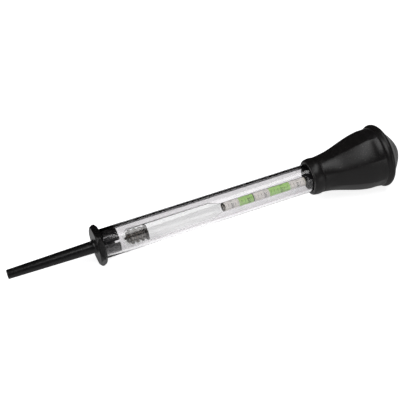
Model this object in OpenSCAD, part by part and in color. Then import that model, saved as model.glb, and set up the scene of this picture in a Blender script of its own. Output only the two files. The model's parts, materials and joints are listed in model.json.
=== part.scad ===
// Battery hydrometer of the syringe pattern, lying on a flat surface.
// A black moulded nozzle plugs one end of a clear barrel, a soft bulb grips the other end,
// and a weighted glass float with a paper scale in its stem lies loose inside.
// Everything is drawn upright along the barrel's axis, nozzle tip at 0 and bulb end at the top,
// and lie() then lays the whole assembly down with the bulb towards +X.

/* [Barrel] */
// Outside diameter of the clear barrel
barrel_d = 21; // [18:0.5:27]
// Wall of the clear barrel
barrel_wall = 1.6; // [1:0.1:2.2]
// Length of the clear barrel
barrel_len = 176.5; // [160:0.5:260]

/* [Nozzle and stopper] */
// Length of the nozzle in front of the flange
nozzle_len = 61.8; // [40:0.1:90]
// Outside diameter at the nozzle tip
nozzle_tip_d = 6.6; // [5.4:0.1:9]
// Outside diameter where the nozzle meets the flange
nozzle_root_d = 8.8; // [7:0.1:11]
// Diameter of the sampling bore
bore_d = 3.8; // [2.5:0.1:4.4]
// Across corners of the hexagonal anti-roll flange
flange_corners = 30.5; // [28:0.1:38]
// Thickness of the flange
flange_thick = 4.7; // [3:0.1:8]
// Length of the plug inside the barrel
plug_len = 11.7; // [8:0.1:20]
// Thickness of the plug's solid base
plug_base = 2.6; // [1.5:0.1:5]
// Number of teeth that stop the float
tooth_count = 4; // [3:1:4]
// Width of one tooth
tooth_width = 10; // [4:0.1:11]
// Radial depth of one tooth at its middle
tooth_depth = 2.9; // [2:0.1:4]
// Turn of the teeth from the flange's corners, in degrees
tooth_turn = 71; // [0:1:89]

/* [Squeeze bulb] */
// Length of the bulb from mouth to end
bulb_len = 74.3; // [66:0.1:95]
// Depth that the barrel reaches into the bulb's neck
grip_depth = 17.8; // [12:0.1:25]
// Wall of the bulb's mouth outside the barrel
lip_wall = 2.8; // [2:0.1:4]
// Diameter of the bulb's wide body
body_d = 44.4; // [40:0.1:60]
// Height of the raised rim above the wide body
rim_rise = 1.5; // [0.5:0.1:2.2]
// Wall of the bulb's body
bulb_wall = 2.4; // [1.5:0.1:3.5]
// Length of the domed end behind the rim
dome_len = 10; // [6:0.1:14]
// Diameter of the domed end where it leaves the rim
dome_d = 34; // [26:0.1:38]

/* [Float] */
// Length of the float
float_len = 144; // [120:0.5:160]
// Outside diameter of the float's body
float_d = 13.5; // [11:0.1:14]
// Wall of the float's body
float_wall = 0.95; // [0.6:0.05:1.2]
// Length of the float's body up to its shoulder
float_body_len = 64.5; // [50:0.5:80]
// Length of the conical shoulder
shoulder_len = 10.5; // [6:0.5:16]
// Outside diameter of the stem
stem_d = 7; // [5:0.1:8.5]
// Wall of the stem
stem_wall = 0.45; // [0.3:0.05:0.7]
// Gap between the plug's teeth and the resting float
float_gap = 3.8; // [2:0.1:8]
// Height of the ballast column
ballast_len = 15.5; // [10:0.5:22]
// Diameter of one ball of shot
shot_d = 2.24; // [2.1:0.02:2.4]
// Gap between the paper scale's top and the stem's rounded tip
card_top_gap = 1; // [1:0.5:20]

/* [Fits] */
// Radial clearance of the plug in the barrel
plug_fit = 0.04; // [0.02:0.01:0.05]
// Radial clearance of the bulb's neck on the barrel
grip_fit = 0.04; // [0.02:0.01:0.05]
// Gap between end faces of pieces that come apart
seat_gap = 0.1; // [0.05:0.05:0.3]
// Gap between the float's side and the barrel's wall
float_rest_gap = 0.15; // [0.1:0.05:0.3]
// Gap between pieces that are fixed inside the float
inner_gap = 0.03; // [0.02:0.01:0.05]

/* [Hidden] */
$fn = 96;

// Stations along the axis, measured from the nozzle tip
flange_front = nozzle_len;
flange_back = flange_front + flange_thick;
teeth_end = flange_back + plug_len;
barrel_start = flange_back + seat_gap;
barrel_end = barrel_start + barrel_len;
mouth = barrel_end - grip_depth;
bulb_end = mouth + bulb_len;
float_start = teeth_end + float_gap;

// Barrel and plug
barrel_r = barrel_d / 2;
barrel_bore_r = barrel_r - barrel_wall;
plug_r = barrel_bore_r - plug_fit;

// Nozzle and flange
nozzle_tip_r = nozzle_tip_d / 2;
nozzle_root_r = nozzle_root_d / 2;
bore_r = bore_d / 2;
tip_round = 0.6;
root_fillet = 2;
flange_flat_r = flange_corners / 2 * cos(30);
flange_corner_cut = 0.5;
flange_face_cut = 1.9;
tooth_inner_r = plug_r - tooth_depth;

// Squeeze bulb, with stations measured from its mouth
lip_r = barrel_r + lip_wall;
lip_round = 1.2;
lip_len = 7.4;
lip_bulge = 0.35;
lip_groove = 0.35;
neck_end = lip_len + 1;
body_r = body_d / 2;
rim_r = body_r + rim_rise;
rim_bead_r = 2.5;
rim_at = bulb_len - dome_len - 6;
seam_at = rim_at - rim_bead_r - 0.6;
flare_end = seam_at - 8;
flare_straight = 0.35;
dome_start = bulb_len - dome_len;
dome_r = dome_d / 2;
dome_power = 0.6;
grip_bore_r = barrel_r + grip_fit;
stop_at = grip_depth + seat_gap;
stop_ledge = 1.4;
stop_inner_r = barrel_bore_r;
cavity_at = stop_at + stop_ledge + 2.2;
dome_wall = 3;
seam_half = 0.4;

// Float, with stations measured from its bottom
float_r = float_d / 2;
float_bore_r = float_r - float_wall;
stem_r = stem_d / 2;
stem_bore_r = stem_r - stem_wall;
bottom_round = 5;
shoulder_start = float_body_len;
stem_start = float_body_len + shoulder_len;
float_drop = barrel_bore_r - float_r - float_rest_gap;
bottom_bore_round = bottom_round - float_wall;
bottom_flat_r = float_r - bottom_round;
shot_r = shot_d / 2;
shot_pitch = shot_d + inner_gap;
layer_rise = shot_pitch * sqrt(2 / 3);
shot_layers = 1 + floor((ballast_len - shot_d - inner_gap) / layer_rise);
cement_at = float_wall + 2 * inner_gap + shot_d + (shot_layers - 1) * layer_rise;
cement_thick = 1.2;
card_r = stem_bore_r - inner_gap;
card_start = stem_start;
card_len = float_len - stem_r - card_top_gap - card_start;
card_thick = 0.15;
scale_cement_thick = 0.8;

// Lie of the assembly: it touches the surface with the flange's lower front edge and the bulb's rim.
rim_station = mouth + rim_at;
rim_ring_r = rim_r - rim_bead_r;
rest_run = rim_station - flange_front;
rest_rise = rim_ring_r - flange_flat_r;
tilt = atan2(rest_rise, rest_run) + asin(rim_bead_r / norm([rest_run, rest_rise]));
rest_lift = flange_flat_r * cos(tilt) - flange_front * sin(tilt);
x_low = -(nozzle_tip_r - tip_round) * sin(tilt);
x_high = bulb_end * cos(tilt);

// Points of an arc about [radius, station], from angle a to angle b
function arc(c, r, a, b, n = 8) = [
    for (i = [0:n]) let (t = a + (b - a) * i / n) c + r * [cos(t), sin(t)]
];

// Smooth step from 0 to 1
function ease(t) = t * t * (3 - 2 * t);

// Lays the upright assembly down: the axis runs to +X and up by the tilt, local +X points down.
module lie() {
    translate([-(x_low + x_high) / 2, 0, rest_lift])
        rotate([0, 90 - tilt, 0])
            children();
}

// Places the loose float at its resting station, on the low side of the barrel
module float_place() {
    lie()
        translate([float_drop, 0, float_start])
            children();
}

module barrel() {
    end_r = barrel_wall / 2;
    mid_r = barrel_r - end_r;
    color([0.86, 0.88, 0.9, 0.35])
        lie()
            rotate_extrude()
                polygon(concat(
                    arc([mid_r, barrel_start + end_r], end_r, 180, 360),
                    arc([mid_r, barrel_end - end_r], end_r, 0, 180)
                ));
}

// Nozzle tube with a rounded tip and a fillet at the flange, without its bore
module nozzle_tube() {
    rotate_extrude()
        polygon(concat(
            [[0, 0]],
            arc([nozzle_tip_r - tip_round, tip_round], tip_round, -90, 0, 4),
            arc([nozzle_root_r + root_fillet, flange_front - root_fillet], root_fillet, 180, 90, 6),
            [[nozzle_root_r + root_fillet, flange_front + 1], [0, flange_front + 1]]
        ));
}

// Hexagonal plate that lies on one flat, with each corner cut back
module cut_hexagon(corner_cut, h) {
    intersection() {
        rotate(30)
            cylinder(d = flange_corners, h = h, $fn = 6);
        cylinder(d = (flange_corners - 2 * corner_cut) / cos(30), h = h, $fn = 6);
    }
}

// Hexagonal flange whose corners taper towards its front and back
module anti_roll_flange() {
    face_h = 0.2;
    rim_h = flange_thick / 3;
    translate([0, 0, flange_front])
        hull() {
            cut_hexagon(flange_face_cut, face_h);
            translate([0, 0, flange_thick - face_h])
                cut_hexagon(flange_face_cut, face_h);
            translate([0, 0, (flange_thick - rim_h) / 2])
                cut_hexagon(flange_corner_cut, rim_h);
        }
}

// Plug that fits the barrel: a solid base and a crown of teeth that keeps the float off the bore
module plug() {
    translate([0, 0, flange_back - 0.5])
        cylinder(r = plug_r, h = plug_base + 0.5);
    translate([0, 0, flange_back])
        intersection() {
            for (i = [0:tooth_count - 1])
                rotate(30 + tooth_turn + i * 360 / tooth_count)
                    translate([tooth_inner_r, -tooth_width / 2, 0])
                        cube([tooth_depth + 1, tooth_width, plug_len]);
            cylinder(r = plug_r, h = plug_len);
        }
}

module nozzle_stopper() {
    color([0.11, 0.11, 0.12])
        lie()
            difference() {
                union() {
                    nozzle_tube();
                    anti_roll_flange();
                    plug();
                }
                translate([0, 0, -1])
                    cylinder(r = bore_r, h = teeth_end + 2);
            }
}

// Radius of the bulb's outside at a station behind its neck: part straight flare, part smooth step
function flare_r(z) =
    let (t = min(1, (z - neck_end) / (flare_end - neck_end)))
    lip_r + (body_r - lip_r) * (flare_straight * t + (1 - flare_straight) * ease(t));

// Outline of a domed end that starts at [radius, station] and closes on the axis
function dome(r, z, len, n = 9) = [for (i = [0:n]) [r * pow(1 - i / n, dome_power), z + len * i / n]];

// Solid outside of the bulb, drawn from its mouth
module bulb_outside() {
    rotate_extrude()
        polygon(concat(
            [[0, 0]],
            arc([lip_r - lip_round, lip_round], lip_round, -90, 0, 5),
            [for (i = [1:5]) [lip_r + lip_bulge * sin(i * 30), lip_round + (lip_len - lip_round) * i / 6]],
            [[lip_r, lip_len], [lip_r - lip_groove, lip_len + 0.5], [lip_r, neck_end]],
            [for (i = [1:14]) let (z = neck_end + (flare_end - neck_end) * i / 14) [flare_r(z), z]],
            [[body_r, seam_at - seam_half], [body_r - seam_half, seam_at], [body_r, seam_at + seam_half]],
            arc([rim_ring_r, rim_at], rim_bead_r, -60, 75, 9),
            dome(dome_r, dome_start, dome_len)
        ));
}

// Hollow of the bulb: the grip bore, the ledge that stops the barrel, and the air space
module bulb_hollow() {
    rotate_extrude()
        polygon(concat(
            [[0, -1], [grip_bore_r, -1], [grip_bore_r, stop_at], [stop_inner_r, stop_at]],
            [[stop_inner_r, stop_at + stop_ledge]],
            [for (i = [0:9]) let (z = cavity_at + (flare_end - cavity_at) * i / 9) [flare_r(z) - bulb_wall, z]],
            [[body_r - bulb_wall, rim_at]],
            dome(dome_r - bulb_wall, dome_start - 1.5, dome_len + 1.5 - dome_wall)
        ));
}

module squeeze_bulb() {
    color([0.13, 0.12, 0.12])
        lie()
            translate([0, 0, mouth])
                difference() {
                    bulb_outside();
                    bulb_hollow();
                }
}

// Closed outline of the float's glass, drawn from its bottom, for a skin that lies inside the outer one
module float_outline(body, stem, bottom, low, high) {
    rotate_extrude()
        polygon(concat(
            [[0, low]],
            arc([body - bottom, low + bottom], bottom, -90, 0, 8),
            [for (i = [0:8]) [stem + (body - stem) * ease(1 - i / 8), shoulder_start + shoulder_len * i / 8]],
            arc([0, high - stem], stem, 0, 90, 8)
        ));
}

module float_glass() {
    color([0.85, 0.9, 0.88, 0.35])
        float_place()
            difference() {
                float_outline(float_r, stem_r, bottom_round, 0, float_len);
                float_outline(
                    float_bore_r, stem_bore_r, bottom_bore_round, float_wall, float_len - stem_wall
                );
            }
}

// How far from the float's axis a ball's centre may lie at height h above the inner bottom
function ball_reach(h) =
    h >= bottom_bore_round ? float_bore_r - shot_r - inner_gap
    : bottom_flat_r - inner_gap
        + sqrt(pow(bottom_bore_round - shot_r, 2) - pow(bottom_bore_round - h, 2));

// Centres of the balls of one layer, on a close-packed lattice that shifts from layer to layer
function layer_balls(k) = [
    for (i = [-4:4], j = [-4:4])
        let (
            shift = k % 2 == 0 ? [0, 0] : shot_pitch * [1 / 2, sqrt(3) / 6],
            p = shot_pitch * [i + j / 2, j * sqrt(3) / 2] + shift
        )
        if (norm(p) <= ball_reach(shot_r + inner_gap + k * layer_rise)) p
];

module ballast_shot() {
    color([0.42, 0.41, 0.4])
        float_place()
            for (k = [0:shot_layers - 1], p = layer_balls(k))
                translate([p[0], p[1], float_wall + inner_gap + shot_r + k * layer_rise])
                    sphere(r = shot_r, $fn = 24);
}

module ballast_cement() {
    color([0.2, 0.18, 0.17])
        float_place()
            translate([0, 0, cement_at])
                cylinder(r = float_bore_r - inner_gap, h = cement_thick);
}

module scale_card() {
    color([0.9, 0.9, 0.84])
        float_place()
            translate([0, 0, card_start])
                difference() {
                    cylinder(r = card_r, h = card_len);
                    translate([0, 0, -1])
                        cylinder(r = card_r - card_thick, h = card_len + 2);
                }
}

module scale_cement() {
    color([0.8, 0.76, 0.66])
        float_place()
            translate([0, 0, card_start + card_len + inner_gap])
                cylinder(r = card_r, h = scale_cement_thick);
}

barrel();
nozzle_stopper();
squeeze_bulb();
float_glass();
ballast_shot();
ballast_cement();
scale_card();
scale_cement();
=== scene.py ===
import json
import math

import bmesh
import bpy
from mathutils import Matrix, Vector


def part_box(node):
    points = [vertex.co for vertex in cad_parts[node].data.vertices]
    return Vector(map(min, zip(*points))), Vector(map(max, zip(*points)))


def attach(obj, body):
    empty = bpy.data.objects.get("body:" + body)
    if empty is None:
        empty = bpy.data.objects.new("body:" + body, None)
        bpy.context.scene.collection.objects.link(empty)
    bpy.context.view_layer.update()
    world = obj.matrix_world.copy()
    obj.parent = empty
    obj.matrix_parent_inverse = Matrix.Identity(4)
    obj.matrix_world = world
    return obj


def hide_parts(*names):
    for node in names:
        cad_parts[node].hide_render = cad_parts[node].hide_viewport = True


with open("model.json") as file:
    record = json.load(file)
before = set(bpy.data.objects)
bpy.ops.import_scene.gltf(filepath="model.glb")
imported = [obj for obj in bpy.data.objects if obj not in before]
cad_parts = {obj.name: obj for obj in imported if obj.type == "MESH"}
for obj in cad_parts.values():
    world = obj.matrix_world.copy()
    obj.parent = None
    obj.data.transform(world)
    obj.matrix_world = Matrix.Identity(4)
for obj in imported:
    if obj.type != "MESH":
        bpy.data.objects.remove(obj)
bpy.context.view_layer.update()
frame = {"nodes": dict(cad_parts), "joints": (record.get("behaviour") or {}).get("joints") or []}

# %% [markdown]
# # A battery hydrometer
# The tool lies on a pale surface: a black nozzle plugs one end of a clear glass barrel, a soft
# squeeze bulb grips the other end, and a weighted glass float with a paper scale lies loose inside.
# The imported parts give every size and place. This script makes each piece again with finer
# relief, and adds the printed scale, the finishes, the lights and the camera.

MM = 0.001
NODES = frame["nodes"]

# %% [markdown]
# ## The lie of the tool
# The barrel isn't level. Its centre line rises from the nozzle to the bulb, because the flange is
# smaller than the bulb's rim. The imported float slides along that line, so its joint gives the
# direction, and the middle of the barrel gives a point on it. Round work is easiest upright, so
# each piece is drawn in millimetres with its axis along +Z, and one matrix lays it down.

# %% The axis frame
AXIS = Vector(next(j["axis"] for j in frame["joints"] if j["name"] == "float_travel")).normalized()
DOWN = Vector((AXIS.z, 0, -AXIS.x))
SIDE = Vector((0, 1, 0))


def corners(part):
    """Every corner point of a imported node, in metres."""
    return [v.co.copy() for v in NODES[part].data.vertices]


barrel_low, barrel_high = (Vector(c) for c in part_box("barrel"))
MIDDLE = (barrel_low + barrel_high) / 2
TIP = MIDDLE + AXIS * min((p - MIDDLE).dot(AXIS) for p in corners("nozzle_stopper"))


def span(part):
    """The lowest and highest station of a node along the axis, in millimetres from the nozzle tip."""
    along = [(p - TIP).dot(AXIS) / MM for p in corners(part)]
    return min(along), max(along)


def girth(part):
    """A node's greatest radius and how far its centre lies below the barrel's, in millimetres."""
    below = [(p - TIP).dot(DOWN) / MM for p in corners(part)]
    return (max(below) - min(below)) / 2, (max(below) + min(below)) / 2


BARREL_START, BARREL_END = span("barrel")
BARREL_R = girth("barrel")[0]
BULB_START, BULB_END = span("squeeze_bulb")
FLOAT_START, FLOAT_END = span("float_glass")
FLOAT_R, FLOAT_DROP = girth("float_glass")
CARD_START, CARD_END = span("scale_card")
CARD_R = girth("scale_card")[0]
CEMENT_START, CEMENT_END = span("ballast_cement")
DAB_START, DAB_END = span("scale_cement")
PLUG_END = span("nozzle_stopper")[1]
print("barrel", round(BARREL_START, 2), round(BARREL_END, 2), "radius", round(BARREL_R, 2))
print("bulb", round(BULB_START, 2), round(BULB_END, 2), "plug end", round(PLUG_END, 2))
print("float", round(FLOAT_START, 2), round(FLOAT_END, 2), "drop", round(FLOAT_DROP, 2))
print("card", round(CARD_START, 2), round(CARD_END, 2), "radius", round(CARD_R, 2))

# %% [markdown]
# ## Turning a round piece
# A lathe turns an outline about the axis. The outline is a list of radius and station, drawn so
# that the solid lies to its left: up along the outside and down along a bore. Faces made in that
# order point outwards by themselves, so a hollow piece needs no repair. Each piece also keeps its
# upright coordinates in an attribute, which the finishes use for anything that runs along or around.

# %% Lathe and laying down
def arc(radius, station, size, start, stop, steps=8):
    """Points of an arc about a centre, with angles in degrees from the outward direction."""
    turns = [math.radians(start + (stop - start) * i / steps) for i in range(steps + 1)]
    return [(radius + size * math.cos(t), station + size * math.sin(t)) for t in turns]


def ease(t):
    """A smooth step from 0 to 1."""
    t = max(0.0, min(1.0, t))
    return t * t * (3 - 2 * t)


def lay_matrix(drop=0.0):
    """Turns upright millimetres into the tool's own place in metres."""
    m = Matrix((DOWN * MM, SIDE * MM, AXIS * MM)).transposed().to_4x4()
    m.translation = TIP + DOWN * drop * MM
    return m


def turn_rings(mesh, rings, closed):
    """Joins rings of points with quads. A ring of one point is a pole."""
    made = [[mesh.verts.new(p) for p in ring] for ring in rings]
    pairs = list(zip(made, made[1:])) + ([(made[-1], made[0])] if closed else [])
    for low, high in pairs:
        count = max(len(low), len(high))
        for i in range(count):
            j = (i + 1) % count
            face = [low[i % len(low)], low[j % len(low)], high[j % len(high)], high[i % len(high)]]
            face = list(dict.fromkeys(face))
            if len(face) > 2:
                mesh.faces.new(face)


def lathe_rings(outline, steps):
    """The rings of an outline that is turned about the axis."""
    rings = []
    for radius, station in outline:
        if radius < 1e-6:
            rings.append([(0, 0, station)])
            continue
        turns = [2 * math.pi * i / steps for i in range(steps)]
        rings.append([(radius * math.cos(t), radius * math.sin(t), station) for t in turns])
    return rings


def add_object(name, data):
    """Puts an object with the given data in the scene."""
    made = bpy.data.objects.new(name, data)
    bpy.context.scene.collection.objects.link(made)
    return made


def finish_piece(name, mesh, finish, drop=0.0, sharp=40):
    """Makes an object from an upright mesh, notes its upright coordinates and lays it down."""
    data = bpy.data.meshes.new(name)
    mesh.to_mesh(data)
    mesh.free()
    piece = add_object(name, data)
    data.materials.append(finish)
    return lay_down(piece, drop, sharp)


def lay_down(piece, drop=0.0, sharp=40):
    """Keeps the upright coordinates as an attribute, then moves the mesh to its place."""
    data = piece.data
    upright = data.attributes.new("upright", "FLOAT_VECTOR", "POINT")
    for v, kept in zip(data.vertices, upright.data):
        kept.vector = v.co
    data.transform(lay_matrix(drop))
    data.shade_smooth()
    data.set_sharp_from_angle(angle=math.radians(sharp))
    print(piece.name, len(data.polygons), "faces")
    return piece


def lathe(name, outlines, finish, steps=160, drop=0.0, closed=True, sharp=40):
    """Turns one or more outlines into one piece."""
    mesh = bmesh.new()
    for outline in outlines:
        turn_rings(mesh, lathe_rings(outline, steps), closed)
    return finish_piece(name, mesh, finish, drop, sharp)


# %% [markdown]
# ## Finishes
# Every finish is worked out from the piece's own coordinates, so it stays in place in any view.
# Three effects turn up again and again: a fine grain, wear that lightens the edges, and specks of
# dust. Each is a node group that is built once and set to its own strength in each finish.

# %% Helpers for the finishes
def node(tree, kind, links=(), **settings):
    """Adds a node, sets its properties and connects its inputs. A link is (input, socket or value)."""
    made = tree.nodes.new(kind)
    for key, value in settings.items():
        setattr(made, key, value)
    for where, source in links:
        socket = made.inputs[where]
        if isinstance(source, bpy.types.NodeSocket):
            tree.links.new(source, socket)
        else:
            socket.default_value = source
    return made


def calc(tree, operation, *values, use_clamp=False):
    """A Math node. Each value is a number or a socket."""
    return node(tree, "ShaderNodeMath", list(enumerate(values)), operation=operation, use_clamp=use_clamp)


def shader_group(name, inputs, outputs):
    """A shader group with float or colour sockets. An input is (name, kind, default)."""
    group = bpy.data.node_groups.new(name, "ShaderNodeTree")
    for label, kind, value in inputs:
        socket = group.interface.new_socket(label, in_out="INPUT", socket_type=kind)
        socket.default_value = value
    for label, kind in outputs:
        group.interface.new_socket(label, in_out="OUTPUT", socket_type=kind)
    return group, node(group, "NodeGroupInput"), node(group, "NodeGroupOutput")


FLOAT_SOCKET = "NodeSocketFloat"
VECTOR_SOCKET = "NodeSocketVector"


def grain_group():
    """Fine grain over broad mottling: Tone for colour and roughness, Height for relief."""
    group, start, end = shader_group(
        "moulded_grain",
        [("Vector", VECTOR_SOCKET, (0, 0, 0)), ("Grain", FLOAT_SOCKET, 2500), ("Mottle", FLOAT_SOCKET, 90)],
        [("Tone", FLOAT_SOCKET), ("Height", FLOAT_SOCKET)],
    )
    fine = node(group, "ShaderNodeTexNoise",
                [("Vector", start.outputs["Vector"]), ("Scale", start.outputs["Grain"]), ("Detail", 3.0)])
    broad = node(group, "ShaderNodeTexNoise",
                 [("Vector", start.outputs["Vector"]), ("Scale", start.outputs["Mottle"]), ("Detail", 4.0)])
    tone = calc(group, "MULTIPLY_ADD", broad.outputs[0], 0.7, 0.0)
    both = calc(group, "MULTIPLY_ADD", fine.outputs[0], 0.3, tone.outputs[0])
    group.links.new(both.outputs[0], end.inputs["Tone"])
    group.links.new(fine.outputs[0], end.inputs["Height"])
    return group


def wear_group():
    """A mask that is 1 on worn edges. It breaks up with noise, so the wear isn't a clean line."""
    group, start, end = shader_group(
        "edge_wear",
        [("Vector", VECTOR_SOCKET, (0, 0, 0)), ("Amount", FLOAT_SOCKET, 0.5), ("Patches", FLOAT_SOCKET, 400)],
        [("Mask", FLOAT_SOCKET)],
    )
    shape = node(group, "ShaderNodeNewGeometry")
    edge = node(group, "ShaderNodeMapRange",
                [("Value", shape.outputs["Pointiness"]), ("From Min", 0.52), ("From Max", 0.62)])
    patches = node(group, "ShaderNodeTexNoise",
                   [("Vector", start.outputs["Vector"]), ("Scale", start.outputs["Patches"]),
                    ("Detail", 5.0)])
    broken = node(group, "ShaderNodeMapRange",
                  [("Value", patches.outputs[0]), ("From Min", 0.38), ("From Max", 0.66)])
    worn = calc(group, "MULTIPLY", edge.outputs[0], broken.outputs[0])
    mask = calc(group, "MULTIPLY", worn.outputs[0], start.outputs["Amount"], use_clamp=True)
    group.links.new(mask.outputs[0], end.inputs["Mask"])
    return group


def dust_group():
    """A mask of fine specks that settle on faces that look up."""
    group, start, end = shader_group(
        "settled_dust",
        [("Vector", VECTOR_SOCKET, (0, 0, 0)), ("Amount", FLOAT_SOCKET, 0.3), ("Specks", FLOAT_SOCKET, 1400)],
        [("Mask", FLOAT_SOCKET)],
    )
    shape = node(group, "ShaderNodeNewGeometry")
    facing = node(group, "ShaderNodeSeparateXYZ", [(0, shape.outputs["Normal"])])
    upward = node(group, "ShaderNodeMapRange",
                  [("Value", facing.outputs["Z"]), ("From Min", 0.1), ("From Max", 0.9)])
    specks = node(group, "ShaderNodeTexNoise",
                  [("Vector", start.outputs["Vector"]), ("Scale", start.outputs["Specks"]), ("Detail", 2.0)])
    few = node(group, "ShaderNodeMapRange",
               [("Value", specks.outputs[0]), ("From Min", 0.6), ("From Max", 0.72)])
    lying = calc(group, "MULTIPLY", few.outputs[0], upward.outputs[0])
    mask = calc(group, "MULTIPLY", lying.outputs[0], start.outputs["Amount"], use_clamp=True)
    group.links.new(mask.outputs[0], end.inputs["Mask"])
    return group


GRAIN = grain_group()
WEAR = wear_group()
DUST = dust_group()
print("shared effects:", GRAIN.name, WEAR.name, DUST.name)

# %% [markdown]
# Each finish starts from the same few steps, which these helpers hold.

# %% Building one finish
def new_finish(name):
    """An empty finish with its output, its coordinates and the upright attribute ready."""
    finish = bpy.data.materials.new(name)
    finish.use_nodes = True
    tree = finish.node_tree
    tree.nodes.clear()
    output = node(tree, "ShaderNodeOutputMaterial")
    place = node(tree, "ShaderNodeTexCoord").outputs["Object"]
    return finish, tree, output, place


def effect(tree, group, place, **values):
    """Places a shared group in a finish and sets its named inputs."""
    made = node(tree, "ShaderNodeGroup", node_tree=group)
    tree.links.new(place, made.inputs["Vector"])
    for label, value in values.items():
        made.inputs[label].default_value = value
    return made


def mix_color(tree, factor, a, b):
    """Mixes two colours, each a socket or three numbers, by a factor."""
    made = node(tree, "ShaderNodeMix", data_type="RGBA")
    for where, source in ((0, factor), (6, a), (7, b)):
        if isinstance(source, bpy.types.NodeSocket):
            tree.links.new(source, made.inputs[where])
        else:
            made.inputs[where].default_value = (*source, 1) if where > 0 else source
    return made.outputs[2]


def scaled(tree, value, low, high, start=0.0, end=1.0):
    """Maps a value onto a range, for a roughness or a strength that varies a little."""
    made = node(tree, "ShaderNodeMapRange",
                [("Value", value), ("From Min", start), ("From Max", end), ("To Min", low), ("To Max", high)])
    return made.outputs[0]


def surface(tree, output, color, roughness, height=None, depth=0.0, **values):
    """A Principled surface with a colour, a roughness and a relief that vary over it."""
    shader = node(tree, "ShaderNodeBsdfPrincipled", [("Base Color", color), ("Roughness", roughness)])
    if height is not None:
        bump = node(tree, "ShaderNodeBump", [("Height", height), ("Distance", depth), ("Strength", 1.0)])
        tree.links.new(bump.outputs[0], shader.inputs["Normal"])
    for label, value in values.items():
        shader.inputs[label.replace("_", " ")].default_value = value
    tree.links.new(shader.outputs[0], output.inputs[0])
    return shader


# %% [markdown]
# Black moulding and black rubber differ mainly in their sheen. The moulding has a finer skin and
# shows a sharper highlight. The rubber is softer, more mottled, and picks up more dust.

# %% Black finishes
def black_moulding():
    finish, tree, output, place = new_finish("black_moulding")
    grain = effect(tree, GRAIN, place, Grain=3200, Mottle=110)
    wear = effect(tree, WEAR, place, Amount=0.8, Patches=500)
    dust = effect(tree, DUST, place, Amount=0.22, Specks=1800)
    tone = mix_color(tree, grain.outputs["Tone"], (0.0015, 0.0015, 0.0016), (0.007, 0.0066, 0.0066))
    worn = mix_color(tree, wear.outputs["Mask"], tone, (0.09, 0.088, 0.086))
    dusty = mix_color(tree, dust.outputs["Mask"], worn, (0.22, 0.21, 0.2))
    surface(tree, output, dusty, scaled(tree, grain.outputs["Tone"], 0.2, 0.36),
            grain.outputs["Height"], 0.000015, IOR=1.45)
    return finish


def bulb_rubber():
    finish, tree, output, place = new_finish("bulb_rubber")
    grain = effect(tree, GRAIN, place, Grain=2100, Mottle=60)
    wear = effect(tree, WEAR, place, Amount=0.7, Patches=260)
    dust = effect(tree, DUST, place, Amount=0.3, Specks=1500)
    tone = mix_color(tree, grain.outputs["Tone"], (0.003, 0.0027, 0.0027), (0.012, 0.0105, 0.0105))
    worn = mix_color(tree, wear.outputs["Mask"], tone, (0.07, 0.066, 0.064))
    dusty = mix_color(tree, dust.outputs["Mask"], worn, (0.2, 0.19, 0.18))
    surface(tree, output, dusty, scaled(tree, grain.outputs["Tone"], 0.24, 0.4),
            grain.outputs["Height"], 0.000025, IOR=1.42)
    return finish


BLACK_MOULDING = black_moulding()
BULB_RUBBER = bulb_rubber()

# %% [markdown]
# Clear glass is judged by what it bends and reflects. Faint draw lines run along a drawn tube, and
# fingers leave soft smears, so the roughness and relief vary a little. A shadow ray passes straight
# through, so the float and its paper are lit inside two walls. The float bends light much less
# than real glass would, which keeps its edges light inside the barrel.

# %% Glass finishes
SHADOW_PASSES = (0.99, 0.99, 0.99, 1)


def clear_glass(name, tint, smear, draw_scale, bend):
    """Clear glass with a tint, smears, draw lines and an index of refraction."""
    finish, tree, output, place = new_finish(name)
    upright = node(tree, "ShaderNodeAttribute", attribute_name="upright")
    stretch = node(tree, "ShaderNodeMapping",
                   [("Vector", upright.outputs["Vector"]), ("Scale", (1.0, 1.0, 0.02))])
    draw = node(tree, "ShaderNodeTexNoise",
                [("Vector", stretch.outputs[0]), ("Scale", draw_scale), ("Detail", 3.0)])
    smears = node(tree, "ShaderNodeTexNoise", [("Vector", place), ("Scale", 70.0), ("Detail", 5.0)])
    roughness = scaled(tree, smears.outputs[0], 0.0, smear, 0.45, 0.75)
    color = mix_color(tree, smears.outputs[0], tint, tuple(c + 0.05 for c in tint))
    shader = surface(tree, output, color, roughness, draw.outputs[0], 0.000006,
                     IOR=bend, Transmission_Weight=1.0)
    through = node(tree, "ShaderNodeBsdfTransparent", [("Color", SHADOW_PASSES)])
    rays = node(tree, "ShaderNodeLightPath")
    mixed = node(tree, "ShaderNodeMixShader",
                 [(0, rays.outputs["Is Shadow Ray"]), (1, shader.outputs[0]), (2, through.outputs[0])])
    tree.links.new(mixed.outputs[0], output.inputs[0])
    return finish


BARREL_GLASS = clear_glass("barrel_glass", (0.78, 0.77, 0.78), 0.05, 0.9, 1.49)
FLOAT_GLASS = clear_glass("float_glass_finish", (0.96, 0.97, 0.96), 0.03, 1.4, 1.1)

# %% [markdown]
# The shot is dull steel with brown specks of rust, the resin above it is nearly black, and the dab
# that holds the paper at the top of the stem is a pale cement.

# %% Ballast finishes
def steel_shot():
    finish, tree, output, place = new_finish("steel_shot")
    grain = effect(tree, GRAIN, place, Grain=2600, Mottle=420)
    rust = scaled(tree, grain.outputs["Tone"], 0.0, 1.0, 0.5, 0.66)
    tone = mix_color(tree, rust, (0.3, 0.285, 0.27), (0.13, 0.09, 0.065))
    surface(tree, output, tone, scaled(tree, grain.outputs["Tone"], 0.25, 0.5),
            grain.outputs["Height"], 0.00003, Metallic=0.9)
    return finish


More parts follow.
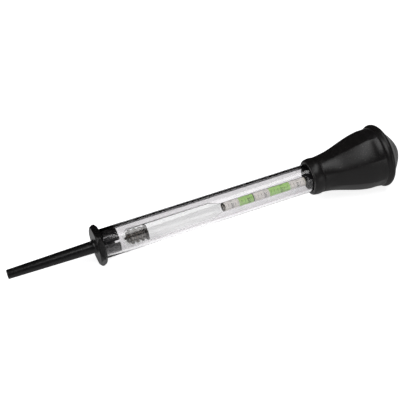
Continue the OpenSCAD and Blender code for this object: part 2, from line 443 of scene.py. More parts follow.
def cement(name, dark, light, low, high):
    finish, tree, output, place = new_finish(name)
    grain = effect(tree, GRAIN, place, Grain=3000, Mottle=500)
    dust = effect(tree, DUST, place, Amount=0.3, Specks=2500)
    tone = mix_color(tree, grain.outputs["Tone"], dark, light)
    dusty = mix_color(tree, dust.outputs["Mask"], tone, light)
    surface(tree, output, dusty, scaled(tree, grain.outputs["Tone"], low, high),
            grain.outputs["Height"], 0.00006)
    return finish


STEEL_SHOT = steel_shot()
DARK_CEMENT = cement("dark_cement", (0.012, 0.01, 0.009), (0.06, 0.05, 0.045), 0.3, 0.5)
PALE_CEMENT = cement("pale_cement", (0.5, 0.46, 0.37), (0.72, 0.69, 0.6), 0.5, 0.7)

# %% [markdown]
# ## Glass barrel
# The real barrel is a drawn tube with its ends melted round. A closed outline with half-round ends
# gives both walls at once. The walls must be truly smooth, because glass shows every facet, so the
# tube has many steps around and only a few along.

# %% Barrel
BARREL_WALL = 1.6
END_R = BARREL_WALL / 2


def make_barrel():
    middle = BARREL_R - END_R
    outline = arc(middle, BARREL_START + END_R, END_R, 180, 360)
    outline += [(BARREL_R, BARREL_START + (BARREL_END - BARREL_START) * i / 8) for i in range(1, 8)]
    outline += arc(middle, BARREL_END - END_R, END_R, 0, 180)
    inner = BARREL_R - BARREL_WALL
    outline += [(inner, BARREL_END - (BARREL_END - BARREL_START) * i / 8) for i in range(1, 8)]
    return lathe("glass_barrel", [outline], BARREL_GLASS, steps=256)


barrel = make_barrel()

# %% [markdown]
# ## Nozzle, flange and plug
# One moulding. Its nozzle and plug are round and its flange is a hexagon, so it is lofted: every
# ring has the same number of points, and between the nozzle and the flange's edge the rings change
# from a circle to a hexagon with rounded corners. The bore closes the loop.

# %% Nozzle sizes and rings
FLANGE_FRONT = 61.8
FLANGE_BACK = BARREL_START - 0.1
NOZZLE_TIP_R = 3.3
NOZZLE_ROOT_R = 4.4
BORE_R = 1.9
FLANGE_FLAT_R = 13.2
FLANGE_CORNER_R = 0.8
FLANGE_EDGE = 0.45
FLANGE_REACH = 14.95
FLANGE_CROWN = 1.6
FLANGE_CORNER_CUT = 1.7
PLUG_R = BARREL_R - BARREL_WALL - 0.04
PLUG_BASE = 2.6
TOOTH_WIDTH = 10
TOOTH_DEPTH = 2.9
TOOTH_TURN = 11
TOOTH_COUNT = 4


def hexagon(flat_r, corner_r):
    """Points around a hexagon with rounded corners, with a flat facing +X."""
    points = []
    for side in range(6):
        corner = math.radians(30 + 60 * side)
        reach = (flat_r - corner_r) / math.cos(math.radians(30))
        centre = Vector((math.cos(corner), math.sin(corner))) * reach
        turns = [corner + math.radians(-30 + 10 * i) for i in range(7)]
        bend = [centre + Vector((math.cos(t), math.sin(t))) * corner_r for t in turns]
        if points:
            points += [points[-1].lerp(bend[0], i / 9) for i in range(1, 9)]
        points += bend
    return points + [points[-1].lerp(points[0], i / 9) for i in range(1, 9)]


HEX_TURNS = [math.atan2(p.y, p.x) for p in hexagon(FLANGE_FLAT_R, FLANGE_CORNER_R)]


def round_ring(radius, station):
    return [(radius * math.cos(t), radius * math.sin(t), station) for t in HEX_TURNS]


def hex_ring(inset, station):
    """A ring of the flange. Its corners fall away towards both faces, as on a turned nut."""
    near_face = min(station - FLANGE_FRONT, FLANGE_BACK - station)
    short = max(0.0, FLANGE_CROWN - near_face)
    limit = FLANGE_REACH - FLANGE_CORNER_CUT * short / FLANGE_CROWN
    ring = []
    for p in hexagon(FLANGE_FLAT_R - inset, max(0.3, FLANGE_CORNER_R - inset)):
        shrink = min(1.0, limit / p.length)
        ring.append((p.x * shrink, p.y * shrink, station))
    return ring


def between(ring_a, ring_b, t):
    return [tuple(a + (b - a) * t for a, b in zip(p, q)) for p, q in zip(ring_a, ring_b)]


def nozzle_rings():
    rings = [round_ring(BORE_R, 0.35), round_ring(BORE_R + 0.12, 0.1)]
    rings += [round_ring(r, z) for r, z in arc(NOZZLE_TIP_R - 0.6, 0.6, 0.6, -90, 0, 5)]
    for i in range(1, 24):
        t = i / 24
        rings.append(round_ring(NOZZLE_TIP_R + (NOZZLE_ROOT_R - NOZZLE_TIP_R) * t, 0.6 + 59.2 * t))
    fillet = arc(NOZZLE_ROOT_R + 2, FLANGE_FRONT - 2, 2, 180, 90, 6)
    rings += [round_ring(r, z) for r, z in fillet]
    inner = round_ring(NOZZLE_ROOT_R + 3, FLANGE_FRONT)
    edge = hex_ring(FLANGE_EDGE + 0.3, FLANGE_FRONT)
    rings += [between(inner, edge, i / 4) for i in range(5)]
    turns = [math.radians(90 * i / 4) for i in range(5)]
    drops = [(FLANGE_EDGE * (1 - math.sin(t)), FLANGE_EDGE * (1 - math.cos(t))) for t in turns]
    rings += [hex_ring(inset, FLANGE_FRONT + depth) for inset, depth in drops]
    middle = (FLANGE_BACK - FLANGE_FRONT) / 2
    rims = [FLANGE_EDGE + (middle - FLANGE_EDGE) * i / 5 for i in range(1, 6)]
    rings += [hex_ring(0, FLANGE_FRONT + depth) for depth in rims]
    rings += [hex_ring(0, FLANGE_BACK - depth) for depth in reversed(rims[:-1])]
    rings += [hex_ring(inset, FLANGE_BACK - depth) for inset, depth in reversed(drops)]
    back = hex_ring(FLANGE_EDGE + 0.3, FLANGE_BACK)
    root = round_ring(PLUG_R, FLANGE_BACK)
    rings += [between(back, root, i / 4) for i in range(5)]
    base_end = FLANGE_BACK + PLUG_BASE
    rings += [round_ring(r, z) for r, z in arc(PLUG_R - 0.4, base_end - 0.4, 0.4, 0, 90, 4)]
    rings += [round_ring(r, base_end) for r in (6.5, 4.5, 2.6)]
    rings += [round_ring(BORE_R, base_end - depth) for depth in (0, 0.3, 15, 30, 45, 60)]
    return rings


# %% [markdown]
# The four teeth stand on the plug in a ring, so Geometry Nodes set one tooth on each point of a
# circle and join them to the plug as one solid. The tooth is round outside, where it fits the
# barrel, and flat inside.

# %% Geometry Nodes helpers
def new_tree(name, inputs):
    """A Geometry Nodes tree with a geometry input and named inputs of the given kinds and defaults."""
    tree = bpy.data.node_groups.new(name, "GeometryNodeTree")
    tree.interface.new_socket("Geometry", in_out="INPUT", socket_type="NodeSocketGeometry")
    tree.interface.new_socket("Geometry", in_out="OUTPUT", socket_type="NodeSocketGeometry")
    for label, kind, value in inputs:
        socket = tree.interface.new_socket(label, in_out="INPUT", socket_type=kind)
        if value is not None:
            socket.default_value = value
    start = tree.nodes.new("NodeGroupInput")
    end = tree.nodes.new("NodeGroupOutput")
    return tree, start, end


def run_tree(piece, tree, **values):
    """Runs a tree on a piece with its inputs set by name, and keeps the result as a plain mesh."""
    modifier = piece.modifiers.new(tree.name, "NODES")
    modifier.node_group = tree
    names = {s.name: s.identifier for s in tree.interface.items_tree if s.item_type == "SOCKET"}
    for label, value in values.items():
        modifier[names[label.replace("_", " ")]] = value
    depsgraph = bpy.context.evaluated_depsgraph_get()
    made = bpy.data.meshes.new_from_object(piece.evaluated_get(depsgraph))
    piece.modifiers.remove(modifier)
    piece.data = made
    return piece


# %% [markdown]
# The teeth join the turned moulding as one solid.

# %% Plug teeth and the whole moulding
def tooth_block():
    """One tooth, standing on the plug's base at +X, round outside and flat inside, with soft edges."""
    half = math.asin(TOOTH_WIDTH / 2 / PLUG_R)
    low, inner = FLANGE_BACK + PLUG_BASE - 0.6, PLUG_R - TOOTH_DEPTH
    turns = [half * (2 * i / 12 - 1) for i in range(13)]
    outline = [(PLUG_R * math.cos(a), PLUG_R * math.sin(a)) for a in turns]
    outline += [(inner, TOOTH_WIDTH / 2), (inner, -TOOTH_WIDTH / 2)]
    mesh = bmesh.new()
    foot = mesh.faces.new([mesh.verts.new((x, y, low)) for x, y in reversed(outline)])
    grown = bmesh.ops.extrude_face_region(mesh, geom=[foot])
    for v in grown["geom"]:
        if isinstance(v, bmesh.types.BMVert):
            v.co.z = PLUG_END
    bmesh.ops.recalc_face_normals(mesh, faces=mesh.faces)
    tip = [e for e in mesh.edges if all(v.co.z > PLUG_END - 0.1 and v.co.length > inner for v in e.verts)]
    bmesh.ops.bevel(mesh, geom=tip, offset=0.5, segments=3, affect="EDGES", profile=0.5)
    data = bpy.data.meshes.new("tooth_block")
    mesh.to_mesh(data)
    mesh.free()
    return add_object("tooth_block", data)


def tooth_tree():
    tree, start, end = new_tree("plug_teeth", [
        ("Tooth", "NodeSocketObject", None),
        ("Count", "NodeSocketInt", TOOTH_COUNT),
        ("Turn", "NodeSocketFloat", math.radians(TOOTH_TURN)),
        ("Finish", "NodeSocketMaterial", None),
    ])
    tooth = node(tree, "GeometryNodeObjectInfo", [("Object", start.outputs["Tooth"])])
    spots = node(tree, "GeometryNodeMeshLine", [("Count", start.outputs["Count"]), ("Offset", (0, 0, 0))])
    index = node(tree, "GeometryNodeInputIndex")
    step = calc(tree, "DIVIDE", 2 * math.pi, start.outputs["Count"])
    turn = calc(tree, "MULTIPLY_ADD", index.outputs[0], step.outputs[0], start.outputs["Turn"])
    spin = node(tree, "ShaderNodeCombineXYZ", [("Z", turn.outputs[0])])
    teeth = node(tree, "GeometryNodeInstanceOnPoints",
                 [("Points", spots.outputs[0]), ("Instance", tooth.outputs["Geometry"]),
                  ("Rotation", spin.outputs[0])])
    solid = node(tree, "GeometryNodeRealizeInstances", [("Geometry", teeth.outputs[0])])
    union = node(tree, "GeometryNodeMeshBoolean", operation="UNION", solver="EXACT")
    tree.links.new(start.outputs["Geometry"], union.inputs["Mesh 2"])
    tree.links.new(solid.outputs[0], union.inputs["Mesh 2"])
    coat = node(tree, "GeometryNodeSetMaterial",
                [("Geometry", union.outputs[0]), ("Material", start.outputs["Finish"])])
    tree.links.new(coat.outputs[0], end.inputs[0])
    return tree


def make_nozzle():
    mesh = bmesh.new()
    turn_rings(mesh, nozzle_rings(), closed=True)
    data = bpy.data.meshes.new("nozzle_moulding")
    mesh.to_mesh(data)
    mesh.free()
    piece = add_object("nozzle_moulding", data)
    tooth = tooth_block()
    run_tree(piece, tooth_tree(), Tooth=tooth, Count=TOOTH_COUNT, Turn=math.radians(TOOTH_TURN),
             Finish=BLACK_MOULDING)
    bpy.data.objects.remove(tooth)
    return lay_down(piece, sharp=32)


nozzle = make_nozzle()

# %% [markdown]
# ## Squeeze bulb
# The bulb is one soft moulding, hollow, with a beaded mouth that grips the barrel, a flared body
# with shallow flutes for the fingers, a raised rim and a domed end. A lathe gives the round shape,
# and Geometry Nodes then press the flutes into it by a rule: how deep a point goes depends only on
# its angle and on how far along the body it is.

# %% Bulb outline
BULB_R = 22.2
RIM_R = 23.7
RIM_BEAD = 2.5
RIM_AT = 58.3
SEAM_AT = 55.2
LIP_R = BARREL_R + 2.8
LIP_LEN = 7.4
NECK_END = 8.4
FLARE_END = 47.2
FLARE_STRAIGHT = 0.35
DOME_START = 64.3
DOME_R = 17.0
DOME_POWER = 0.6
BULB_LEN = 74.3
BULB_WALL = 2.4
GRIP_R = BARREL_R + 0.04
STOP_AT = 17.9


def flare(z):
    """The bulb's radius behind its neck: part straight flare, part smooth step."""
    t = max(0.0, min(1.0, (z - NECK_END) / (FLARE_END - NECK_END)))
    return LIP_R + (BULB_R - LIP_R) * (FLARE_STRAIGHT * t + (1 - FLARE_STRAIGHT) * ease(t))


def dome(radius, start, length, steps):
    """A domed end that closes on the axis, with its points closer together near the axis."""
    points = []
    for i in range(steps + 1):
        t = 1 - (1 - i / steps) ** 2
        points.append((radius * (1 - t) ** DOME_POWER, start + length * t))
    return points


def bulb_outside():
    outline = arc(GRIP_R + 0.35, 0.35, 0.35, 180, 270, 4)
    outline += arc(LIP_R - 1.6, 1.6, 1.6, -90, -8, 8)
    outline += [(LIP_R + 0.35 * math.sin(math.pi * i / 10), 1.6 + (LIP_LEN - 1.6) * i / 10)
                for i in range(1, 10)]
    groove = [(0.0, 0.0), (-0.12, 0.15), (-0.34, 0.42), (-0.36, 0.6), (-0.14, 0.85), (0.0, 1.0)]
    outline += [(LIP_R + r, LIP_LEN + z) for r, z in groove]
    outline += [(flare(z), z) for z in (NECK_END + (FLARE_END - NECK_END) * i / 52 for i in range(1, 53))]
    outline += [(BULB_R, FLARE_END + (SEAM_AT - 0.5 - FLARE_END) * i / 6) for i in range(1, 7)]
    outline += [(BULB_R - 0.3, SEAM_AT - 0.15), (BULB_R - 0.3, SEAM_AT + 0.15)]
    outline += [(BULB_R + 0.02, SEAM_AT + 0.5)]
    outline += arc(RIM_R - RIM_BEAD, RIM_AT, RIM_BEAD, -56, 72, 18)
    outline += [(20.6, 61.7), (19.2, 62.75), (18.2, 63.5), (17.5, 63.95)]
    return outline + dome(DOME_R, DOME_START, BULB_LEN - DOME_START, 26)


def bulb_inside():
    outline = list(reversed(dome(DOME_R - BULB_WALL, DOME_START - 1.5, 8.5, 10)))
    outline += [(BULB_R - BULB_WALL, RIM_AT)]
    start = STOP_AT + 3.6
    stations = [FLARE_END + (start - FLARE_END) * i / 10 for i in range(11)]
    outline += [(flare(z) - BULB_WALL, z) for z in stations]
    stop_r = BARREL_R - BARREL_WALL
    return outline + [(stop_r, STOP_AT + 1.4), (stop_r, STOP_AT), (GRIP_R, STOP_AT), (GRIP_R, 8.0)]


BULB_STEPS = 384
bulb_outline = [(r, z + BULB_START) for r, z in bulb_outside() + bulb_inside()]

# %% [markdown]
# The soft flutes on the flare are pressed into the turned skin by a small node tree.

# %% Flutes by Geometry Nodes
FLUTE_COUNT = 8
FLUTE_DEPTH = 0.8
FLUTE_TURN = math.radians(192.5)


def flute_tree():
    """Presses flutes into the outside of an upright round piece between two stations."""
    tree, start, end = new_tree("bulb_flutes", [
        ("Count", "NodeSocketFloat", FLUTE_COUNT),
        ("Depth", "NodeSocketFloat", FLUTE_DEPTH),
        ("Turn", "NodeSocketFloat", FLUTE_TURN),
        ("Start", "NodeSocketFloat", 0.0),
        ("Full", "NodeSocketFloat", 1.0),
        ("Fade", "NodeSocketFloat", 2.0),
        ("End", "NodeSocketFloat", 3.0),
        ("Finish", "NodeSocketMaterial", None),
    ])
    place = node(tree, "GeometryNodeInputPosition")
    parts = node(tree, "ShaderNodeSeparateXYZ", [(0, place.outputs[0])])
    angle = calc(tree, "ARCTAN2", parts.outputs["Y"], parts.outputs["X"])
    from_ridge = calc(tree, "SUBTRACT", angle.outputs[0], start.outputs["Turn"])
    half = calc(tree, "MULTIPLY", start.outputs["Count"], 0.5)
    phase = calc(tree, "MULTIPLY", from_ridge.outputs[0], half.outputs[0])
    wave = calc(tree, "SINE", phase.outputs[0])
    scallop = calc(tree, "ABSOLUTE", wave.outputs[0])
    rise = node(tree, "ShaderNodeMapRange",
               [("Value", parts.outputs["Z"]), ("From Min", start.outputs["Start"]),
                ("From Max", start.outputs["Full"])], interpolation_type="SMOOTHSTEP")
    fall = node(tree, "ShaderNodeMapRange",
               [("Value", parts.outputs["Z"]), ("From Min", start.outputs["End"]),
                ("From Max", start.outputs["Fade"])], interpolation_type="SMOOTHSTEP")
    fade = calc(tree, "MULTIPLY", rise.outputs[0], fall.outputs[0])
    shape = calc(tree, "MULTIPLY", scallop.outputs[0], fade.outputs[0])
    depth = calc(tree, "MULTIPLY", shape.outputs[0], start.outputs["Depth"])
    flat = node(tree, "ShaderNodeVectorMath", [(0, place.outputs[0]), (1, (1, 1, 0))], operation="MULTIPLY")
    outward = node(tree, "ShaderNodeVectorMath", [(0, flat.outputs[0])], operation="NORMALIZE")
    inward = calc(tree, "MULTIPLY", depth.outputs[0], -1.0)
    move = node(tree, "ShaderNodeVectorMath",
                [(0, outward.outputs[0]), ("Scale", inward.outputs[0])], operation="SCALE")
    normal = node(tree, "GeometryNodeInputNormal")
    facing = node(tree, "ShaderNodeVectorMath",
                  [(0, outward.outputs[0]), (1, normal.outputs[0])], operation="DOT_PRODUCT")
    outside = node(tree, "FunctionNodeCompare",
                   [(0, facing.outputs["Value"]), (1, 0.0)], operation="GREATER_THAN")
    pressed = node(tree, "GeometryNodeSetPosition",
                  [("Geometry", start.outputs["Geometry"]), ("Selection", outside.outputs[0]),
                   ("Offset", move.outputs[0])])
    coat = node(tree, "GeometryNodeSetMaterial",
                [("Geometry", pressed.outputs[0]), ("Material", start.outputs["Finish"])])
    tree.links.new(coat.outputs[0], end.inputs[0])
    return tree


def make_bulb():
    mesh = bmesh.new()
    turn_rings(mesh, lathe_rings(bulb_outline, BULB_STEPS), closed=True)
    data = bpy.data.meshes.new("squeeze_bulb_skin")
    mesh.to_mesh(data)
    mesh.free()
    piece = add_object("squeeze_bulb_skin", data)
    run_tree(piece, flute_tree(), Count=float(FLUTE_COUNT), Depth=FLUTE_DEPTH, Turn=FLUTE_TURN,
             Start=BULB_START + 9, Full=BULB_START + 24, Fade=BULB_START + 50, End=BULB_START + 54.6,
             Finish=BULB_RUBBER)
    return lay_down(piece, sharp=50)


bulb = make_bulb()

# %% [markdown]
# ## Glass float
# The float is blown in one piece: a round foot that holds the shot, a long body, a soft shoulder
# and a thin stem, sealed at its tip. It is two skins, one for the outside and one for the air
# inside, and the inner one is drawn downwards so that its faces look into the air.

# %% Float outline
FLOAT_WALL = 0.95
STEM_R = 3.5
STEM_WALL = 0.45
FOOT_ROUND = 5.0
BODY_LEN = 64.5
SHOULDER_LEN = 10.5
FLOAT_LEN = FLOAT_END - FLOAT_START


def float_skin(body, stem, foot, low, high):
    points = [(0, low)] + arc(body - foot, low + foot, foot, -90, 0, 14)
    points += [(body, low + foot + (BODY_LEN - low - foot) * i / 6) for i in range(1, 6)]
    for i in range(17):
        points.append((stem + (body - stem) * ease(1 - i / 16), BODY_LEN + SHOULDER_LEN * i / 16))
    stem_low = BODY_LEN + SHOULDER_LEN
    points += [(stem, stem_low + (high - stem - stem_low) * i / 6) for i in range(1, 6)]
    points += arc(0, high - stem, stem, 0, 88, 12) + [(0, high)]
    return [(r, z + FLOAT_START) for r, z in points]


outer_skin = float_skin(FLOAT_R, STEM_R, FOOT_ROUND, 0, FLOAT_LEN)
inner_skin = float_skin(FLOAT_R - FLOAT_WALL, STEM_R - STEM_WALL, FOOT_ROUND - FLOAT_WALL,
                        FLOAT_WALL, FLOAT_LEN - STEM_WALL)
float_glass = lathe("float_envelope", [outer_skin, inner_skin[::-1]], FLOAT_GLASS, steps=192,
                    drop=FLOAT_DROP, closed=False)

# %% [markdown]
# ## Ballast
# The foot is filled with steel shot, held down by a disc of dark resin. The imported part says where
# every ball lies. Geometry Nodes set a slightly uneven ball on each of those points, each turned
# its own way and a touch smaller than its place, so no two catch the light alike.

# %% Shot and resin
SHOT_R = 1.12


def ball_centres():
    """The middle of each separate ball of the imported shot, in metres."""
    mesh = bmesh.new()
    mesh.from_mesh(NODES["ballast_shot"].data)
    bmesh.ops.remove_doubles(mesh, verts=mesh.verts, dist=1e-7)
    seen, centres = set(), []
    for first in mesh.verts:
        if first in seen:
            continue
        seen.add(first)
        group, todo = [], [first]
        while todo:
            v = todo.pop()
            group.append(v.co)
            near = [e.other_vert(v) for e in v.link_edges]
            todo += [n for n in near if n not in seen]
            seen.update(near)
        low = Vector(min(p[i] for p in group) for i in range(3))
        high = Vector(max(p[i] for p in group) for i in range(3))
        centres.append((low + high) / 2)
    mesh.free()
    return centres


def shot_tree():
    tree, start, end = new_tree("shot_balls", [
        ("Radius", "NodeSocketFloat", SHOT_R * MM),
        ("Smallest", "NodeSocketFloat", 0.94),
        ("Seed", "NodeSocketInt", 7),
        ("Finish", "NodeSocketMaterial", None),
    ])
    ball = node(tree, "GeometryNodeMeshIcoSphere", [("Radius", start.outputs["Radius"]), ("Subdivisions", 4)])
    spots = node(tree, "GeometryNodeMeshToPoints", [("Mesh", start.outputs["Geometry"])])
    size = node(tree, "FunctionNodeRandomValue",
               [(2, start.outputs["Smallest"]), (3, 1.0), ("Seed", start.outputs["Seed"])], data_type="FLOAT")
    turn = node(tree, "FunctionNodeRandomValue",
               [(0, (0, 0, 0)), (1, (6.28, 6.28, 6.28)), ("Seed", start.outputs["Seed"])],
               data_type="FLOAT_VECTOR")
    balls = node(tree, "GeometryNodeInstanceOnPoints",
                [("Points", spots.outputs[0]), ("Instance", ball.outputs[0]), ("Rotation", turn.outputs[0]),
                 ("Scale", size.outputs[1])])
    solid = node(tree, "GeometryNodeRealizeInstances", [("Geometry", balls.outputs[0])])
    coat = node(tree, "GeometryNodeSetMaterial",
               [("Geometry", solid.outputs[0]), ("Material", start.outputs["Finish"])])
    smooth = node(tree, "GeometryNodeSetShadeSmooth", [("Geometry", coat.outputs[0])])
    tree.links.new(smooth.outputs[0], end.inputs[0])
    return tree


def make_shot(finish):
    centres = ball_centres()
    data = bpy.data.meshes.new("shot_balls")
    data.from_pydata(centres, [], [])
    piece = add_object("shot_balls", data)
    run_tree(piece, shot_tree(), Radius=SHOT_R * MM, Smallest=0.94, Seed=7, Finish=finish)
    print("shot", len(centres), "balls", len(piece.data.polygons), "faces")
    return piece


def make_resin():
    """The disc of resin, with a raised edge where it climbed the glass."""
    r = FLOAT_R - FLOAT_WALL - 0.03
    low, high = CEMENT_START, CEMENT_END
    outline = [(0, low)] + arc(r - 0.2, low + 0.2, 0.2, -90, 0, 3)
    outline += [(r, high - 0.02), (r - 0.12, high), (r - 0.35, high - 0.16), (r - 0.8, high - 0.3)]
    outline += [(r - 2.2, high - 0.36), (1.2, high - 0.34), (0, high - 0.3)]
    return lathe("ballast_resin", [outline], DARK_CEMENT, steps=96, drop=FLOAT_DROP, closed=False)


resin = make_resin()

# %% [markdown]
# ## Paper scale
# The scale is a strip of paper rolled into the stem. Its bands are print, so they belong to its
# finish. The numbers are print too, but they need real letter shapes: they are set as text, made a
# mesh, and wrapped round the paper with the thickness of ink.

# %% Scale finish
BANDS = [
    ("white", 1.2), ("green", 12.3), ("black", 23.2), ("white", 24.0),
    ("green", 36.1), ("white", 52.6), ("white", 65.0),
]
INKS = {"white": (0.86, 0.82, 0.8), "green": (0.42, 0.72, 0.22), "black": (0.02, 0.02, 0.02)}
TICK_STEP = 2.595
TICK_THICK = 0.22
TICK_ANGLE = math.radians(226 - 360)
TICK_SPREAD = math.radians(22)


def scale_paper():
    """Printed paper: colour bands along the stem and fine tick marks on the side that shows."""
    finish, tree, output, place = new_finish("scale_paper")
    upright = node(tree, "ShaderNodeAttribute", attribute_name="upright")
    parts = node(tree, "ShaderNodeSeparateXYZ", [(0, upright.outputs["Vector"])])
    along = scaled(tree, parts.outputs["Z"], 0.0, 1.0, CARD_START, CARD_END)
    ramp = node(tree, "ShaderNodeValToRGB", [(0, along)])
    ramp.color_ramp.interpolation = "CONSTANT"
    length = CARD_END - CARD_START
    ramp.color_ramp.elements[0].color = (*INKS["black"], 1)
    ramp.color_ramp.elements.remove(ramp.color_ramp.elements[1])
    for ink, start in BANDS[:-1]:
        ramp.color_ramp.elements.new(start / length).color = (*INKS[ink], 1)
    step = calc(tree, "DIVIDE", parts.outputs["Z"], TICK_STEP)
    part = calc(tree, "FRACT", step.outputs[0])
    thin = calc(tree, "LESS_THAN", part.outputs[0], TICK_THICK / TICK_STEP)
    angle = calc(tree, "ARCTAN2", parts.outputs["Y"], parts.outputs["X"])
    away = calc(tree, "SUBTRACT", angle.outputs[0], TICK_ANGLE)
    reach = calc(tree, "ABSOLUTE", away.outputs[0])
    near = calc(tree, "LESS_THAN", reach.outputs[0], TICK_SPREAD)
    tick = calc(tree, "MULTIPLY", thin.outputs[0], near.outputs[0])
    grain = effect(tree, GRAIN, place, Grain=5000, Mottle=260)
    stain = scaled(tree, grain.outputs["Tone"], 0.0, 0.35, 0.4, 0.75)
    paper = mix_color(tree, stain, ramp.outputs["Color"], (0.7, 0.6, 0.48))
    inked = mix_color(tree, tick.outputs[0], paper, (0.03, 0.03, 0.035))
    surface(tree, output, inked, scaled(tree, grain.outputs["Tone"], 0.6, 0.85),
            grain.outputs["Height"], 0.00002)
    return finish


SCALE_PAPER = scale_paper()

# %% [markdown]
# The paper is a rolled tube, and the dab closes it at the top of the stem.

# %% Card and dab
CARD_THICK = 0.15


def make_card():
    r = CARD_R
    steps = 24
    up = [(r, CARD_START + (CARD_END - CARD_START) * i / steps) for i in range(steps + 1)]
    down = [(r - CARD_THICK, z) for _, z in reversed(up)]
    return lathe("paper_scale", [up + down], SCALE_PAPER, steps=128, drop=FLOAT_DROP)


def make_dab():
    r = CARD_R
    outline = [(0, DAB_START)] + arc(r - 0.15, DAB_START + 0.15, 0.15, -90, 0, 3)
    outline += arc(r - 0.3, DAB_END - 0.3, 0.3, 0, 80, 4) + [(0, DAB_END - 0.02)]
    return lathe("scale_dab", [outline], PALE_CEMENT, steps=64, drop=FLOAT_DROP, closed=False)


card = make_card()
dab = make_dab()

# %% [markdown]
# The figures give specific gravity from 1.300 at the body to 1.100 near the tip, because a float
# rides high in heavy acid. Each is set as text, cut into narrow strips so that it can bend, and
# wrapped round the paper with its base towards the float's body.

# %% Scale figures
FIGURE_HEIGHT = 2.1
FIGURE_ANGLE = math.radians(226)
FIRST_FIGURE = 6.9
FIGURE_STEP = 5
STRIP = 0.12


def figure_mesh(words):
    """The words as a thin solid in millimetres, centred on the origin, cut into narrow strips."""
    curve = bpy.data.curves.new("figure", "FONT")
    curve.body = words
    curve.size = FIGURE_HEIGHT * 1.38
    curve.align_x = "CENTER"
    curve.align_y = "CENTER"
    curve.extrude = 0.006
    curve.resolution_u = 3
    text = add_object("figure", curve)
    depsgraph = bpy.context.evaluated_depsgraph_get()
    data = bpy.data.meshes.new_from_object(text.evaluated_get(depsgraph))
    bpy.data.objects.remove(text)
    bpy.data.curves.remove(curve)
    mesh = bmesh.new()
    mesh.from_mesh(data)
    bpy.data.meshes.remove(data)
    bmesh.ops.remove_doubles(mesh, verts=mesh.verts, dist=1e-5)
    width = max(v.co.x for v in mesh.verts)
    for i in range(-int(width / STRIP), int(width / STRIP) + 1):
        everything = mesh.verts[:] + mesh.edges[:] + mesh.faces[:]
        bmesh.ops.bisect_plane(mesh, geom=everything, plane_co=(i * STRIP, 0, 0), plane_no=(1, 0, 0))
    return mesh


def make_figures():
    whole = bmesh.new()
    values = [1300 - 50 * i for i in range(5)]
    for i, value in enumerate(values):
        part = figure_mesh(f"{value / 1000:.3f}")
        station = CARD_START + FIRST_FIGURE + i * FIGURE_STEP * TICK_STEP
        for v in part.verts:
            turn = FIGURE_ANGLE + v.co.x / CARD_R
            radius = CARD_R + 0.008 + v.co.z
            v.co = Vector((radius * math.cos(turn), radius * math.sin(turn), station + v.co.y))
        data = bpy.data.meshes.new("figure_part")
        part.to_mesh(data)
        part.free()
        whole.from_mesh(data)
        bpy.data.meshes.remove(data)
    return finish_piece("scale_figures", whole, FIGURE_INK, drop=FLOAT_DROP)


FIGURE_INK = cement("figure_ink", (0.012, 0.012, 0.015), (0.04, 0.04, 0.045), 0.4, 0.6)
shot = make_shot(STEEL_SHOT)
figures = make_figures()

# %% [markdown]
# ## Riding and replacing
# Each piece moves with its imported body and stands for the imported node that it was made from. The
# float carries its shot, resin, paper, figures and cement along with it.

# %% Bodies, nodes and slots
PIECES = [
    (barrel, "barrel", "barrel", "barrel_glass"),
    (nozzle, "nozzle", "nozzle_stopper", "black_moulding"),
    (bulb, "bulb", "squeeze_bulb", "bulb_rubber"),
    (float_glass, "float", "float_glass", "float_glass"),
    (shot, "float", "ballast_shot", "steel_shot"),
    (resin, "float", "ballast_cement", "dark_cement"),
    (card, "float", "scale_card", "scale_paper"),
    (dab, "float", "scale_cement", "pale_cement"),
]
for piece, body, node_name, slot in PIECES:
    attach(piece, body)
    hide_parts(node_name)
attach(figures, "float")

# %% [markdown]
# ## Floor, lights and camera
# Black gloss shows only what it reflects, so the lights are placed for their reflections. A long
# softbox nearly overhead gives the streak along the nozzle and the bulb, and the room behind stays
# dark so that the upper sides do too. The floor glows: more where the camera sees it, so that
# shadows stay faint, and less where black gloss mirrors it, so that the undersides stay dark.

# %% Floor
def pale_floor():
    """White, with a glow of its own that differs by the ray that sees it."""
    finish, tree, output, place = new_finish("pale_floor")
    broad = node(tree, "ShaderNodeTexNoise", [("Vector", place), ("Scale", 6.0), ("Detail", 3.0)])
    color = mix_color(tree, broad.outputs[0], (0.9, 0.9, 0.9), (0.94, 0.94, 0.94))
    rays = node(tree, "ShaderNodeLightPath")
    mirrored = calc(tree, "SUBTRACT", rays.outputs["Is Glossy Ray"], rays.outputs["Is Transmission Ray"],
                    use_clamp=True)
    glow = mix_color(tree, mirrored.outputs[0], (1.0, 1.0, 1.0), FLOOR_MIRROR_GLOW)
    glow = mix_color(tree, rays.outputs["Is Camera Ray"], glow, FLOOR_CAMERA_GLOW)
    # Where black gloss mirrors the floor, its colour is darker too: painted shade on the undersides of the
    # black pieces.
    seen = mix_color(tree, mirrored.outputs[0], color, FLOOR_MIRROR_COLOR)
    shader = surface(tree, output, seen, scaled(tree, broad.outputs[0], 0.75, 0.85),
                     Emission_Strength=FLOOR_GLOW, Specular_IOR_Level=0.1)
    tree.links.new(glow, shader.inputs["Emission Color"])
    return finish


FLOOR_SIZE = 2.4
FLOOR_GLOW = 0.62
FLOOR_MIRROR_GLOW = (0.3, 0.3, 0.3)
FLOOR_CAMERA_GLOW = (1.35, 1.35, 1.35)
FLOOR_MIRROR_COLOR = (0.5, 0.5, 0.5)
mesh = bmesh.new()
bmesh.ops.create_grid(mesh, x_segments=1, y_segments=1, size=FLOOR_SIZE)
floor_data = bpy.data.meshes.new("floor")
mesh.to_mesh(floor_data)
mesh.free()
floor = add_object("floor", floor_data)
floor_data.materials.append(pale_floor())

# %% [markdown]
# Three softboxes light the tool, and a black card behind it darkens the glass's upper edge.

# %% Lights
LOOK_AT = Vector((-6.63, 7.20, 21.85)) * MM


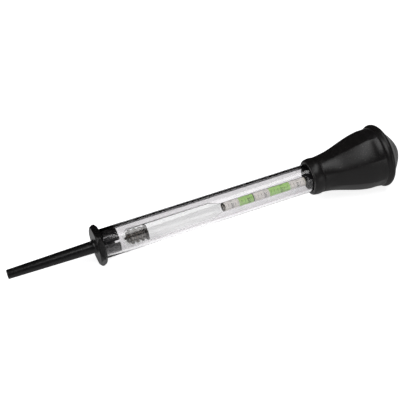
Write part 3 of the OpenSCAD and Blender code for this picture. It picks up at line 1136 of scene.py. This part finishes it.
def softbox(name, direction, distance, width, height, power):
    """A rectangular area light that faces the tool from a direction."""
    light = bpy.data.lights.new(name, "AREA")
    light.shape = "RECTANGLE"
    light.size = width
    light.size_y = height
    light.energy = power
    lamp = add_object(name, light)
    away = Vector(direction).normalized()
    facing = away.to_track_quat("Z", "X").to_matrix().to_4x4()
    lamp.matrix_world = Matrix.Translation(LOOK_AT + away * distance) @ facing
    return lamp


softbox("top_softbox", (0.25, -0.12, 1.0), 1.0, 0.30, 1.1, 3.4)
softbox("left_softbox", (-1.0, -0.1, 0.75), 1.1, 1.0, 0.8, 6)
softbox("front_softbox", (0.5, -1.0, 0.25), 1.4, 0.5, 1.0, 1.6)


def black_flag():
    """A black card behind the tool. Only reflections and bent rays see it: it darkens the glass's edge."""
    finish, tree, output, place = new_finish("black_flag")
    weave = node(tree, "ShaderNodeTexNoise", [("Vector", place), ("Scale", 300.0)])
    color = mix_color(tree, weave.outputs[0], (0.001, 0.001, 0.001), (0.003, 0.003, 0.003))
    surface(tree, output, color, scaled(tree, weave.outputs[0], 0.9, 1.0), Specular_IOR_Level=0.0)
    mesh = bmesh.new()
    left, right = (-FLAG_REACH, FLAG_LEFT), (FLAG_REACH, FLAG_RIGHT)
    spots = [(*left, 0.001), (*right, 0.001), (*right, FLAG_HEIGHT), (*left, FLAG_HEIGHT)]
    mesh.faces.new([mesh.verts.new(p) for p in spots])
    data = bpy.data.meshes.new("black_flag")
    mesh.to_mesh(data)
    mesh.free()
    data.materials.append(finish)
    flag = add_object("black_flag", data)
    flag.visible_camera = False
    flag.visible_diffuse = False
    flag.visible_shadow = False


FLAG_REACH = 0.15
FLAG_LEFT = 0.033
FLAG_RIGHT = 0.056
FLAG_HEIGHT = 0.4
black_flag()

world = bpy.data.worlds.new("studio")
bpy.context.scene.world = world
world.use_nodes = True
world.node_tree.nodes["Background"].inputs["Color"].default_value = (0.05, 0.05, 0.055, 1)
world.node_tree.nodes["Background"].inputs["Strength"].default_value = 1.0
bpy.context.scene.view_settings.view_transform = "Standard"

# %% [markdown]
# The camera looks down at the tool from the front left with a long lens.

# %% Camera
CAMERA_AZIMUTH = -22.487
CAMERA_ELEVATION = 40.327
CAMERA_ROLL = -0.593
CAMERA_DISTANCE = 677.5
CAMERA_LENS = 86.0


def add_camera():
    turn, lift = math.radians(CAMERA_AZIMUTH), math.radians(CAMERA_ELEVATION)
    away = Vector((math.sin(turn) * math.cos(lift), -math.cos(turn) * math.cos(lift), math.sin(lift)))
    data = bpy.data.cameras.new("camera")
    data.lens = CAMERA_LENS
    data.sensor_width = 36
    camera = add_object("camera", data)
    facing = away.to_track_quat("Z", "Y").to_matrix().to_4x4()
    place = Matrix.Translation(LOOK_AT + away * CAMERA_DISTANCE * MM)
    camera.matrix_world = place @ facing @ Matrix.Rotation(math.radians(CAMERA_ROLL), 4, "Z")
    return camera


bpy.context.scene.camera = add_camera()
